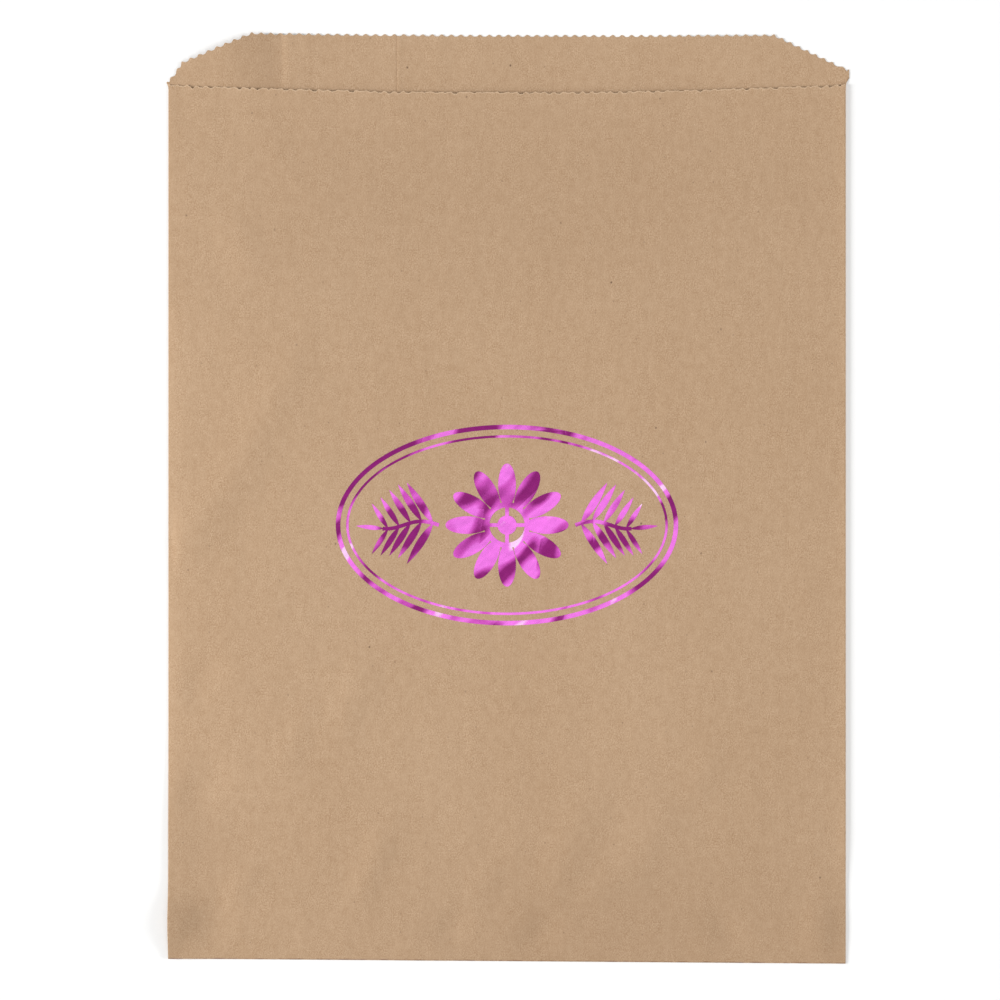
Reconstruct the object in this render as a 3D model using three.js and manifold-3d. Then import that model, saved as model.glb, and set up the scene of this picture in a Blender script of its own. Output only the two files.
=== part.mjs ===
// A flat kraft paper merchandise bag, lying on its back. One sheet is folded into a tube, lapped
// and glued along the back, turned up and glued at the bottom, and cut with a saw-toothed knife at
// the mouth, so that the back panel stands past the front one as a lip. A stamped foil ornament
// lies on the front. X runs across the bag, Y from the bottom fold to the mouth, Z up.
import * as THREE from 'three';
import { mergeVertices } from 'three/addons/utils/BufferGeometryUtils.js';
import Module from 'manifold-3d';

const wasm = await Module();
wasm.setup();

// The folded sheet, in millimetres
const paper = 0.12; // thickness
const bagWidth = 254; // side fold to side fold
const frontLength = 328.9; // bottom fold to the front panel's cut edge, at the side folds
const frontBow = 3.1; // how much lower that edge runs in the middle
const bottomSkew = 1.9; // how far out of square the bottom fold is, from one end to the other
const foldInside = 0.18; // inner radius of the crease at each side
const pressedRun = 12; // the side creases are pressed tighter this close to the bottom
const shutRun = 1.5; // and the bottom fold holds the two panels together up to here

// How the empty bag lies open
const loft = 4.3; // rise of the front panel above its folded height
const springLoft = 1.3; // the part of it that the side creases give at once
const springRun = 6; // over this width
const bellyRun = 80; // the panel levels out this far up from the bottom fold
const levelMargin = 6; // and it is level this far past the foil, side to side

// The knife
const toothPitch = 3.54;
const toothShare = 0.7; // of the pitch; the rest is the flat of the valley
const lipToothDepth = 0.8;
const frontToothDepth = 0.6;

// The lip, on the back panel: heights above the front panel's edge at the side folds
const lipRise = 19.4;
const lipBow = 0.5; // how much lower the lip's edge runs in the middle
const slantLeft = { topInset: 31.3, footInset: 5, footRise: 8.4, stepInset: 1.3, stepRise: 3.1 };
const slantRight = { topInset: 26.8, topDrop: 0.6 }; // its top lies that much lower than the left one's
const earLeft = { reach: 0.75, rise: 0.8 };
const earRight = { reach: 1.4, rise: 2.4, top: 5.4 };

// The back seam: the right half of the back panel laps over the left half, inside the bag
const seamX = -41.3; // cut edge of the right half, seen inside the lip
const seamLap = 17;
const seamRamp = 2.5; // the right half comes down to the left one's level over this width

// The turned-up bottom
const turnUp = 5; // front and back ply together
const plyRamp = 1.5; // the bag steps down over this run where a ply under it ends
const tabSettle = 5; // and comes down to the table over this one past the tab

// The foil ornament
const foil = 0.04; // thickness
const foilY = 163.6; // its middle, above the bottom fold
const ovalWidth = 128;
const ovalHeight = 75;
const ovalStroke = 1.7;
const innerOvalGap = 2.2;
const innerOvalStroke = 0.9;
const petals = 12;
const petalLength = 16;
const petalWidth = 6.6;
const petalRadius = 15; // from the flower's middle to the middle of a petal
const eyeOuter = 8.6;
const eyeInner = 6.6;
const budRadius = 3.6;
const stemStart = 25.5; // from the flower's middle
const stemEnd = 46.5;
const stemSwing = 1.4; // how far the stem swings to each side of its straight line
const stemWidth = 1.4;
const leafPairs = 5;
const leafLength = 19;
const leafWidth = 3.1;
const leafSplay = THREE.MathUtils.degToRad(57); // between a leaf and the oval's long axis
const leafTaper = 0.45; // how much smaller the last pair is than the first

// What follows from them
const halfWidth = bagWidth / 2;
const tabEnd = turnUp + lipRise;
const tabClear = tabEnd + frontBow + plyRamp; // the back panel has passed the tab here
const lipTop = frontLength + lipRise;
const shoulderRun = halfWidth - ovalWidth / 2 - levelMargin;
const hemRadius = 2 * paper; // the bottom fold wraps four plies in all
const foilUnder = 2 * (foldInside + paper) + loft; // outer face of the level front panel
const past = 6; // how far a cutting tool reaches past what it cuts
const side = halfWidth + past;
const bite = paper / 2; // how far glued plies run into each other to make one solid

const kraft = new THREE.MeshStandardMaterial({ color: 0xbe9f80, roughness: 0.88, metalness: 0 });
const pinkFoil = new THREE.MeshStandardMaterial({ color: 0xd64fc4, roughness: 0.22, metalness: 1 });

const at = (x, y) => new THREE.Vector2(x, y);
const levelOff = (share) => 1 - (1 - Math.min(share, 1)) ** 2;

// A closed geometry as a solid that can be joined and cut
function solidOf(geometry) {
  const bare = geometry.clone();
  bare.deleteAttribute('normal');
  bare.deleteAttribute('uv');
  const merged = mergeVertices(bare, 1e-4);
  return new wasm.Manifold(new wasm.Mesh({
    numProp: 3,
    vertProperties: merged.attributes.position.array,
    triVerts: new Uint32Array(merged.index.array),
  }));
}

function geometryOf(solid) {
  const mesh = solid.getMesh();
  const geometry = new THREE.BufferGeometry();
  geometry.setAttribute('position', new THREE.BufferAttribute(new Float32Array(mesh.vertProperties), 3));
  geometry.setIndex(new THREE.BufferAttribute(new Uint32Array(mesh.triVerts), 1));
  return geometry;
}

// A plan outline, in X and Y, raised from one height to another
function raised(shape, low, high, curveSegments = 12) {
  const depth = high - low;
  const geometry = new THREE.ExtrudeGeometry(shape, { depth, bevelEnabled: false, curveSegments });
  return solidOf(geometry.translate(0, 0, low));
}

// Closed X-Z outlines with equal numbers of points, each at its own Y, skinned and capped
function loftThrough(rings) {
  const count = rings[0].outline.length;
  const places = rings.flatMap(({ y, outline }) => outline.flatMap((p) => [p.x, y, p.y]));
  const index = [];
  for (let ring = 0; ring + 1 < rings.length; ring += 1) {
    for (let i = 0; i < count; i += 1) {
      const a = ring * count + i;
      const b = ring * count + ((i + 1) % count);
      index.push(a, a + count, b, b, a + count, b + count);
    }
  }
  const last = (rings.length - 1) * count;
  for (const [a, b, c] of THREE.ShapeUtils.triangulateShape(rings[0].outline, [])) index.push(a, b, c);
  for (const [a, b, c] of THREE.ShapeUtils.triangulateShape(rings.at(-1).outline, [])) {
    index.push(last + a, last + c, last + b);
  }
  const geometry = new THREE.BufferGeometry();
  geometry.setAttribute('position', new THREE.Float32BufferAttribute(places, 3));
  geometry.setIndex(index);
  return solidOf(geometry);
}

// A cut line whose tips lie on the given one, with valleys to the right of its direction
function toothed(corners, depth) {
  const line = [];
  for (let i = 0; i + 1 < corners.length; i += 1) {
    const span = corners[i + 1].clone().sub(corners[i]);
    const teeth = Math.max(1, Math.round(span.length() / toothPitch));
    const inward = at(span.y, -span.x).setLength(depth);
    const along = (share) => corners[i].clone().addScaledVector(span, share / teeth);
    for (let tooth = 0; tooth < teeth; tooth += 1) {
      line.push(along(tooth));
      line.push(along(tooth + toothShare / 2).add(inward));
      line.push(along(tooth + 1 - toothShare / 2).add(inward));
    }
  }
  line.push(corners.at(-1));
  return line;
}

// A shallow parabola between two points, lower in its middle by the bow
function bowed(from, to, bow, spans) {
  return Array.from({ length: spans + 1 }, (_, i) => {
    const share = i / spans;
    const sag = bow * 4 * share * (1 - share);
    return from.clone().lerp(to, share).sub(at(0, sag));
  });
}

// How far the front panel stands above its folded height, at an inset from the side fold
function rise(inset, y) {
  const spring = springLoft * levelOff(inset / springRun);
  const crown = (loft - springLoft) * levelOff(inset / shoulderRun);
  return (spring + crown) * levelOff(y / bellyRun);
}

// The height of the back panel's outer face: over the turned-up plies, then on the table
function base(y) {
  if (y <= turnUp) return 2 * paper;
  if (y < turnUp + plyRamp) return 2 * paper - (paper * (y - turnUp)) / plyRamp;
  if (y <= tabClear) return paper;
  return paper * Math.max(0, 1 - (y - tabClear) / tabSettle);
}

// One outline of the tube, counter-clockwise from the left fold, set in from its outside by the skin
function tubeOutline(y, skin) {
  const reach = paper + foldInside * Math.min(1, y / pressedRun);
  const radius = reach - skin;
  const middle = base(y) + reach;
  const arcSteps = 3;
  const arc = Array.from({ length: arcSteps }, (_, i) => {
    const turn = (i * Math.PI) / 2 / arcSteps;
    return { inset: reach - radius * Math.cos(turn), lift: radius * Math.sin(turn) };
  });
  const slopeSteps = 9;
  const slope = Array.from({ length: slopeSteps + 1 }, (_, i) => {
    const inset = (shoulderRun * i ** 1.8) / slopeSteps ** 1.8;
    return { inset: reach + inset * (1 - reach / shoulderRun), lift: radius + rise(inset, y) };
  });
  const under = [...arc, { inset: reach, lift: radius }].map((p) => ({ inset: p.inset, z: middle - p.lift }));
  const top = [...arc.slice(1), ...slope].map((p) => ({ inset: p.inset, z: middle + p.lift }));
  const left = ({ inset, z }) => at(inset - halfWidth, z);
  const right = ({ inset, z }) => at(halfWidth - inset, z);
  return [
    ...under.map(left), ...seamOutline(base(y), skin), ...under.map(right).reverse(),
    ...top.map(right), ...top.map(left).reverse(),
  ];
}

// The lap's step: inside it shows the upper half's cut edge, outside the lower half's
function seamOutline(floor, skin) {
  const lapEnd = seamX + seamLap;
  if (skin > 0) {
    return [
      at(seamX, floor + paper), at(seamX, floor + 2 * paper),
      at(lapEnd, floor + 2 * paper), at(lapEnd + seamRamp, floor + paper),
    ];
  }
  return [at(lapEnd, floor), at(lapEnd, floor + paper), at(lapEnd + seamRamp, floor)];
}

// The tube, from the bottom fold past the mouth, with the knife still to come
function tube() {
  const settled = tabClear + tabSettle;
  const overTab = (pressedRun + tabClear) / 2;
  const folded = [shutRun, turnUp, turnUp + plyRamp, pressedRun, overTab, tabClear, settled];
  const bellySteps = 4;
  const belly = Array.from({ length: bellySteps }, (_, i) => (
    THREE.MathUtils.lerp(settled, bellyRun, (i + 1) / bellySteps)
  ));
  const stations = [...folded, ...belly, lipTop + past].sort((a, b) => a - b);
  const outside = [hemRadius, ...stations].map((y) => ({ y, outline: tubeOutline(y, 0) }));
  const inside = stations.map((y) => ({ y, outline: tubeOutline(y, paper) }));
  inside.at(-1).y += past;
  return loftThrough(outside).subtract(loftThrough(inside));
}

// The back panel's cut line, from the left side fold over the lip to the right one
function lipLine() {
  const leftTop = at(slantLeft.topInset - halfWidth, lipTop);
  const rightTop = at(halfWidth - slantRight.topInset, lipTop - slantRight.topDrop);
  const topSpans = 5;
  return [
    at(-halfWidth, frontLength),
    ...toothed([
      at(-halfWidth - earLeft.reach, frontLength + earLeft.rise),
      at(slantLeft.stepInset - halfWidth, frontLength + slantLeft.stepRise),
      at(slantLeft.footInset - halfWidth, frontLength + slantLeft.footRise),
      ...bowed(leftTop, rightTop, lipBow, topSpans),
      at(halfWidth + earRight.reach, frontLength + earRight.top),
    ], lipToothDepth),
    at(halfWidth + earRight.reach, frontLength + earRight.rise),
    at(halfWidth, frontLength),
  ];
}

// All that the knife leaves of the tube, in plan
function planKnife() {
  const left = [at(-side, -past), at(-side, frontLength)];
  const right = [at(side, frontLength), at(side, -past)];
  return raised(new THREE.Shape([...left, ...lipLine(), ...right]), -past, foilUnder + past);
}

// What lies beyond a toothed edge that runs from one side fold to the other
function beyondEdge(y, bow, low, high) {
  const edgeSpans = 6;
  const edge = bowed(at(-halfWidth, y), at(halfWidth, y), bow, edgeSpans);
  const far = y + lipRise + 3 * past;
  const around = [at(side, y), at(side, far), at(-side, far), at(-side, y)];
  return raised(new THREE.Shape([...toothed(edge, frontToothDepth), ...around]), low, high);
}

// Past the front panel's edge each side crease is cut down to the back panel
function creaseEnd(fold) {
  const width = 2 * (foldInside + paper);
  const far = lipTop + 3 * past;
  const start = [at(fold - width, frontLength), at(fold + width, frontLength)];
  const end = [at(fold + width, far), at(fold - width, far)];
  return raised(new THREE.Shape([...start, ...end]), paper, foilUnder + past);
}

// The lip lies flat, and the ends of its creases stand out past the side folds as ears
const flatLip = () => raised(new THREE.Shape(lipLine()), 0, paper);

// The bottom fold and what it turns up behind the back panel: both plies, then the front one alone,
// which ends in the cut that the next bag's front edge also has
function turnedBottom() {
  const end = tabEnd + frontBow + past;
  const core = (hemRadius + shutRun) / 2;
  const section = new THREE.Shape();
  section.moveTo(core, 2 * hemRadius);
  section.lineTo(hemRadius, 2 * hemRadius);
  section.absarc(hemRadius, hemRadius, hemRadius, Math.PI / 2, 1.5 * Math.PI, false);
  section.lineTo(end, 0);
  section.lineTo(end, paper + bite);
  section.lineTo(turnUp + plyRamp, paper + bite);
  section.lineTo(turnUp, 2 * paper + bite);
  section.lineTo(core, 2 * paper + bite);
  const width = bagWidth - 2 * bite;
  const options = { depth: width, bevelEnabled: false, curveSegments: 6 };
  const geometry = new THREE.ExtrudeGeometry(section, options);
  const turn = new THREE.Matrix4().makeBasis(
    new THREE.Vector3(0, 1, 0), new THREE.Vector3(0, 0, 1), new THREE.Vector3(1, 0, 0),
  );
  const strip = solidOf(geometry.applyMatrix4(turn).translate(-width / 2, 0, 0));
  return strip.subtract(beyondEdge(tabEnd, -frontBow, -past, past));
}

// The bottom fold runs out of square, and the panels take that up where they are still closing
function skewed(geometry) {
  const places = geometry.attributes.position;
  for (let i = 0; i < places.count; i += 1) {
    const share = Math.max(0, 1 - places.getY(i) / bellyRun);
    places.setY(i, places.getY(i) - (bottomSkew / 2) * (places.getX(i) / halfWidth) * share);
  }
  return geometry;
}

function bag() {
  const seamClear = 2 * paper + bite; // the knife over the front panel spares the seam
  const body = tube()
    .subtract(beyondEdge(frontLength, frontBow, seamClear, foilUnder + past))
    .subtract(creaseEnd(-halfWidth))
    .subtract(creaseEnd(halfWidth))
    .add(flatLip())
    .intersect(planKnife());
  return skewed(geometryOf(body.add(turnedBottom())));
}

const stamped = (shape, segments) => raised(shape, foilUnder, foilUnder + foil, segments);
const ellipse = (Kind, width, height) => (
  new Kind().absellipse(0, foilY, width / 2, height / 2, 0, 2 * Math.PI)
);

function oval(inset, stroke) {
  const width = ovalWidth - 2 * inset;
  const height = ovalHeight - 2 * inset;
  const shape = ellipse(THREE.Shape, width, height);
  shape.holes.push(ellipse(THREE.Path, width - 2 * stroke, height - 2 * stroke));
  return stamped(shape, 36);
}

// A pointed leaf from its foot, in the direction of turn
function leaf(foot, turn, size) {
  const ahead = at(Math.cos(turn), Math.sin(turn));
  const across = at(-ahead.y, ahead.x);
  const place = (along, aside) => foot.clone().addScaledVector(ahead, along).addScaledVector(across, aside);
  const widest = 0.4 * leafLength * size;
  const tip = place(leafLength * size, 0);
  const right = place(widest, -leafWidth * size);
  const left = place(widest, leafWidth * size);
  const shape = new THREE.Shape();
  shape.moveTo(foot.x, foot.y);
  shape.quadraticCurveTo(right.x, right.y, tip.x, tip.y);
  shape.quadraticCurveTo(left.x, left.y, foot.x, foot.y);
  return stamped(shape, 7);
}

// A swinging stem that runs out from the flower, with pairs of leaves and one at its end
function sprig(hand) {
  const outward = hand > 0 ? 0 : Math.PI;
  const length = stemEnd - stemStart;
  const stemAt = (share) => at(
    hand * (stemStart + share * length), foilY + stemSwing * Math.sin(share * 1.6 * Math.PI),
  );
  const heading = (share) => stemAt(share + 0.01).sub(stemAt(share - 0.01)).angle();
  const steps = 20;
  const edge = (offset) => Array.from({ length: steps + 1 }, (_, i) => {
    const turn = heading(i / steps);
    return stemAt(i / steps).add(at(-Math.sin(turn), Math.cos(turn)).multiplyScalar(offset));
  });
  let solid = stamped(new THREE.Shape([...edge(-stemWidth / 2), ...edge(stemWidth / 2).reverse()]));
  for (let pair = 0; pair < leafPairs; pair += 1) {
    const share = (pair + 0.5) / leafPairs;
    const size = 1 - leafTaper * share;
    for (const lean of [-leafSplay, leafSplay]) solid = solid.add(leaf(stemAt(share), outward + lean, size));
  }
  return solid.add(leaf(stemAt(0.98), heading(1), 1 - leafTaper));
}

// Petals on a ring, with a bud held in its middle by four short spokes
function flower() {
  const disc = (Kind, radius) => ellipse(Kind, 2 * radius, 2 * radius);
  const ring = disc(THREE.Shape, eyeOuter);
  ring.holes.push(disc(THREE.Path, eyeInner));
  const reach = (eyeInner + eyeOuter) / 2;
  const spoke = (x, y) => stamped(new THREE.Shape([
    at(-x, foilY - y), at(x, foilY - y), at(x, foilY + y), at(-x, foilY + y),
  ]));
  let solid = stamped(ring, 15)
    .add(stamped(disc(THREE.Shape, budRadius), 10))
    .add(spoke(reach, stemWidth / 2))
    .add(spoke(stemWidth / 2, reach));
  for (let i = 0; i < petals; i += 1) {
    const turn = (i / petals) * 2 * Math.PI;
    const petal = new THREE.Shape().absellipse(
      petalRadius * Math.cos(turn), foilY + petalRadius * Math.sin(turn),
      petalLength / 2, petalWidth / 2, 0, 2 * Math.PI, false, turn,
    );
    solid = solid.add(stamped(petal, 10));
  }
  return solid;
}

function piece(name, geometry, material) {
  const mesh = new THREE.Mesh(geometry, material);
  mesh.name = name;
  return mesh;
}

const model = new THREE.Group();
model.add(piece('paper_bag', bag(), kraft));
model.add(piece('foil_oval_outer', geometryOf(oval(0, ovalStroke)), pinkFoil));
model.add(piece('foil_oval_inner', geometryOf(oval(ovalStroke + innerOvalGap, innerOvalStroke)), pinkFoil));
model.add(piece('foil_flower', geometryOf(flower()), pinkFoil));
model.add(piece('foil_sprig_left', geometryOf(sprig(-1)), pinkFoil));
model.add(piece('foil_sprig_right', geometryOf(sprig(1)), pinkFoil));

// The origin is under the middle of the bag, on the face that it lies on
const box = new THREE.Box3().setFromObject(model);
const middle = box.getCenter(new THREE.Vector3());
model.position.set(-middle.x, -middle.y, -box.min.z);

export default model;
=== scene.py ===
import bmesh
import bpy
import numpy as np
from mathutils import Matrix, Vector


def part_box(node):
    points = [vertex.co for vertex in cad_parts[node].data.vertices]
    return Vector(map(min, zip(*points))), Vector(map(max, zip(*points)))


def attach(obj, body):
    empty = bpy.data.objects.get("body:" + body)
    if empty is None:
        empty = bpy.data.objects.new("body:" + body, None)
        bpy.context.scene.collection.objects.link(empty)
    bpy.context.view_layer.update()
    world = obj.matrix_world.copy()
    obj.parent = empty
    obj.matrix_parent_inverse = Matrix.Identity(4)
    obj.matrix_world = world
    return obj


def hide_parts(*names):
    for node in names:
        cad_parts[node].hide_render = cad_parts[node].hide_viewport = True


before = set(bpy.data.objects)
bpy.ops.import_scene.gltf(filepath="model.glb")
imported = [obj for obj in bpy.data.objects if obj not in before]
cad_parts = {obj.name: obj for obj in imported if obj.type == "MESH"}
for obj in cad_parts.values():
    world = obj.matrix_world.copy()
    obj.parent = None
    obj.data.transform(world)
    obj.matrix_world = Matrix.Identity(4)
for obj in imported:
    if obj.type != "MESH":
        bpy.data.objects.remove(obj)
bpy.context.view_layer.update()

# A flat kraft paper merchandise bag with a stamped foil ornament, lying on its back.
# Shapes are worked out in millimetres: x across the bag from its middle, y up from the bottom
# fold, z up from the table. A mesh is put in metres, in the frame's place, when it is made.

mm = 0.001
print("frame loaded:", ", ".join(sorted(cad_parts)))

bag = {
    "paper": 0.12,            # thickness of the sheet
    "earLeft": 0.75,          # how far the lip's two ends stand past the side folds
    "earRight": 1.4,
    "earLeftRise": 0.8,       # and where they start and end above the side folds' ends
    "earRightRise": 2.4,
    "earRightTop": 5.4,
    "leftStep": (1.3, 3.1),   # corners of the lip's left slant: inset, rise
    "leftFoot": (5.0, 8.4),
    "leftTop": 31.3,          # insets of the slants' upper ends
    "rightTop": 26.8,
    "rightDrop": 0.6,         # the right one lies this much lower
    "lipRise": 19.4,          # lip above the front edge, at the side folds
    "lipBow": 0.5,            # how much lower each edge runs in its middle
    "frontBow": 3.1,
    "bottomSkew": 1.9,        # how far out of square the bottom fold is
    "bellyRun": 80.0,         # the front has risen this far up from the bottom fold
    "loft": 3.6,              # rise of the front above its folded height
    "springLoft": (0.6, 0.1), # the part of it next to the side folds, left and right
    "springRun": (6.0, 10.0),
    "springRise": (20.0, 80.0),   # it grows between these heights
    "shoulderRun": (57.0, 100.0),
    "ridgeLoft": 0.6,         # the right fold stands a little above the panel next to it
    "ridgeRun": 2.5,
    "ridgeRise": (20.0, 50.0),
    "mouthShare": 0.3,        # what is left of the rise at the front edge
    "mouthRun": 120.0,
    "freeRun": 10.0,          # this far in, the front is clear of the steps under its side folds
    "stepSoftness": 3.5,      # and takes them up over a run this many times longer
    "touchRun": 40.0,         # it parts from the seam's lap this far up
    "waveRun": 50.0,          # its waves grow over this height
    "reliefRun": 4.0,         # they and the creases start this far from the folds
    "foldInside": 0.18,       # inner radius of the side creases
    "pressedRun": 12.0,       # they are pressed tighter this close to the bottom
    "seamX": -41.3,           # cut edge of the back's right half, inside the bag
    "seamLap": 17.0,
    "seamRamp": 2.5,
    "seamLift": 0.22,         # the cut edge stands off the paper under it, most this far from it
    "seamLiftPlace": 0.88,
    "seamLiftRun": 1.1,
    "lipFrom": (-18.0, 12.0), # the lip eases off the table over this stretch, from the front edge
    "lipRest": 0.16,          # by this much, and by a multiple of the waves, up to the most
    "lipWave": 1.4,
    "lipMost": 0.5,
    "lipLoft": 2.3,           # height of the lip's hump, and what is left of it at the front edge
    "lipHumpShare": 0.35,
    "earSpread": 0.85,        # share of an ear's reach that the flat paper next to it takes up
    "earRun": 3.0,
    "earCrest": (0.2, 0.3),   # rise of the cut from an ear's end to the flat paper, left and right
    "turnUp": 5.0,            # both plies are turned up behind the back, the front one further
    "plyRamp": 1.5,
    "settleRun": 5.0,
    "toothPitch": 3.54,
    "toothFlank": 0.399,      # a flank's share of a tooth
    "lipToothDepth": 0.8,
    "frontToothDepth": 0.6,
    "rowPitch": 3.3,          # spacing of the mesh's rows up the bag
    "seed": 7,
}

# Torn places in the front edge: x, depth
notches = ((-117.8, 1.0), (-100.2, 0.6), (-96.4, 0.5), (-89.3, 0.45), (-31.0, 0.3), (52.0, 0.3),
           (113.7, 0.45), (117.1, 0.5), (120.8, 0.45), (124.6, 0.5))

# The lip stands off the table in a low hump near its left end, which drops into a creased valley:
# x, share of the height
lipHump = ((-128.0, 0.1), (-118.0, 0.75), (-107.0, 1.0), (-100.0, 0.75), (-84.8, 0.0), (-82.4, 0.2),
           (-72.0, 0.0))

# Painted shade in the lip's valley, darker than the paper round it: x, share of the darkest
lipValleyShade = ((-106.0, 0.0), (-93.0, 0.7), (-85.2, 1.0), (-83.8, 0.0))

# Places where both panels curl up together: x, y, half width, half height, lift
curls = ((-131.0, 13.0, 14.0, 11.0, 3.4), (-131.0, 42.0, 14.0, 26.0, 1.0))

# Painted shade in dents and creases and towards the top and bottom: x, y, half width, half height, depth
paintedShadePlaces = ((-120.0, 14.0, 8.0, 9.0, 0.5), (-126.0, 3.0, 2.5, 5.0, 0.7), (-125.5, 251.0, 1.6, 4.5, 0.5),
         (-88.0, 28.0, 4.0, 5.0, 0.2), (-41.5, 38.0, 3.0, 10.0, 0.2), (123.0, 9.0, 6.0, 11.0, 0.8),
         (-118.0, 42.0, 20.0, 22.0, 0.65), (45.0, 8.0, 105.0, 42.0, 0.95),
         (0.0, 290.0, 150.0, 45.0, 0.55))

# Soft creases in the front, ridges and valleys: x, y, half length, half width, turn in degrees, height
creases = (
    (-98.3, 189.8, 45.0, 7.5, 62.0, 1.15),
    (-118.5, 163.0, 14.0, 6.0, 60.0, 0.9),
    (-98.3, 268.0, 12.0, 6.0, 115.0, 0.8),
    (-90.8, 310.0, 16.0, 2.8, 114.0, 0.3),
    (-113.5, 66.0, 10.0, 6.0, 55.0, -1.3),
    (-114.0, 105.4, 9.0, 5.0, 55.0, -1.0),
    (-79.2, 83.0, 12.0, 3.6, 65.0, 0.75),
    (-58.9, 96.0, 18.0, 6.5, 68.0, 0.9),
    (-111.5, 13.5, 12.0, 5.0, 65.0, -1.3),
    (-99.0, 28.5, 8.0, 3.4, 55.0, 1.0),
    (-50.7, 36.0, 16.0, 4.0, 68.0, 1.2),
    (-20.6, 12.4, 7.0, 4.4, 50.0, -1.1),
    (-7.9, 30.4, 8.0, 3.4, 60.0, 0.9),
    (12.4, 9.8, 10.0, 4.4, 55.0, -1.2),
    (24.4, 45.0, 22.0, 7.0, 70.0, 0.8),
    (36.0, 28.0, 8.0, 4.4, 50.0, 0.9),
    (51.8, 45.0, 22.0, 8.0, 65.0, 1.0),
    (73.2, 69.8, 9.0, 4.4, 65.0, 0.7),
    (82.9, 11.6, 9.0, 4.0, 115.0, -1.1),
    (116.7, 13.5, 10.0, 5.0, 90.0, 1.0),
)

# Broad waves in the front: wavelength, direction in degrees, phase, height
waves = ((83.0, 18.0, 0.4, 0.06), (61.0, 71.0, 2.1, 0.06), (47.0, 128.0, 4.0, 0.05),
         (34.0, 48.0, 1.2, 0.03))

paper = bag["paper"]
bagLow, bagHigh = (np.array(corner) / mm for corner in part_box("paper_bag"))
halfWidth = (bagHigh[0] - bagLow[0] - bag["earLeft"] - bag["earRight"]) / 2
middleX = bagLow[0] + bag["earLeft"] + halfWidth
bottomY = bagLow[1] + bag["bottomSkew"] / 2
lipTop = bagHigh[1] - bottomY
frontLength = lipTop - bag["lipRise"]
foldEdge = halfWidth - paper / 2                      # middle of the paper at a side fold
panelEnd = foldEdge - paper / 2 - bag["foldInside"]   # where its crease starts
lapEnd = bag["seamX"] + bag["seamLap"]
random = np.random.default_rng(bag["seed"])


# From 0 to 1 with level ends: 3t^2 - 2t^3
def smooth(share):
    share = np.clip(share, 0, 1)
    return share * share * (3 - 2 * share)


# The same between two places
def fade(place, low, high):
    return smooth((place - low) / (high - low))


# From 0 to 1, steep at first and level at the end: 1 - (1 - t)^2
def levelOff(share):
    return 1 - (1 - np.clip(share, 0, 1)) ** 2


# The front panel's cut line: a parabola, lower in its middle by the bow
def frontLine(x):
    return frontLength - bag["frontBow"] * (1 - (x / halfWidth) ** 2)


lipCorners = np.array([
    (-halfWidth - bag["earLeft"], bag["earLeftRise"]),
    (bag["leftStep"][0] - halfWidth, bag["leftStep"][1]),
    (bag["leftFoot"][0] - halfWidth, bag["leftFoot"][1]),
    (bag["leftTop"] - halfWidth, bag["lipRise"]),
    (halfWidth - bag["rightTop"], bag["lipRise"] - bag["rightDrop"]),
    (halfWidth + bag["earRight"], bag["earRightTop"]),
]) + (0, frontLength)


# The lip's cut line: straight from corner to corner, and bowed like the front between the slants
def lipLine(x):
    left, right = lipCorners[3, 0], lipCorners[4, 0]
    across = np.clip((2 * x - left - right) / (right - left), -1, 1)
    return np.interp(x, lipCorners[:, 0], lipCorners[:, 1]) - bag["lipBow"] * (1 - across ** 2)


# Where teeth begin along a broken line, as places in x, with a whole number of teeth to each side
def toothPlaces(corners):
    spans = np.diff(corners, axis=0)
    counts = np.maximum(1, np.round(np.hypot(spans[:, 0], spans[:, 1]) / bag["toothPitch"])).astype(int)
    shares = np.concatenate([start + np.arange(count) / count for start, count in enumerate(counts)])
    return np.interp(np.append(shares, len(counts)), np.arange(len(corners)), corners[:, 0])


lipTeeth = toothPlaces(lipCorners)
frontTeeth = np.linspace(-halfWidth, halfWidth, int(round(2 * halfWidth / bag["toothPitch"])) + 1)


# Depth of the saw-tooth cut, from 0 at a rounded tip to 1 on the flat of a valley
def toothDip(x, teeth):
    tooth = np.interp(x, teeth, np.arange(len(teeth))) % 1
    return smooth(np.minimum(tooth, 1 - tooth) / bag["toothFlank"])


# 1 over the seam's lap, ramping to 0 on both sides of it
def overLap(x):
    ramp = bag["seamRamp"]
    return np.clip((x - bag["seamX"] + ramp) / ramp, 0, 1) * np.clip((lapEnd + ramp - x) / ramp, 0, 1)


# 1 on the upper side of the seam's lap, ramping to 0 past it
def onLap(x, upper):
    return upper * np.clip((lapEnd + bag["seamRamp"] - x) / bag["seamRamp"], 0, 1)


# 0 on the back and 1 on the front, and between them round a side crease: (1 - cos turn) / 2
def frontShare(turn):
    return (1 - np.cos(turn)) / 2


# Ends of the plies turned up behind the bag: each is the complement of the cut it was made by
def innerPlyEnd(x):
    return bag["turnUp"] + lipTop - lipLine(x)


def outerPlyEnd(x):
    return bag["turnUp"] + bag["lipRise"] + frontLength - frontLine(x)


# Plies under the back panel: those turned up, each until its own end
def pliesUnder(x, y, spread=1.0):
    inner = 1 - smooth((y - innerPlyEnd(x)) / (bag["plyRamp"] * spread))
    outer = 1 - smooth((y - outerPlyEnd(x)) / (bag["settleRun"] * spread))
    return (1 + overLap(x)) * inner + outer


# Long soft ridges and valleys: each falls off as a bell along and across its own line
def creased(x, y):
    height = np.zeros(np.broadcast(x, y).shape)
    for placeX, placeY, halfLength, halfSpan, turn, rise in creases:
        along = (x - placeX) * np.cos(np.radians(turn)) + (y - placeY) * np.sin(np.radians(turn))
        across = (y - placeY) * np.cos(np.radians(turn)) - (x - placeX) * np.sin(np.radians(turn))
        height = height + rise * np.exp(-(along / halfLength) ** 4 - (across / halfSpan) ** 2)
    return height


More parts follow.
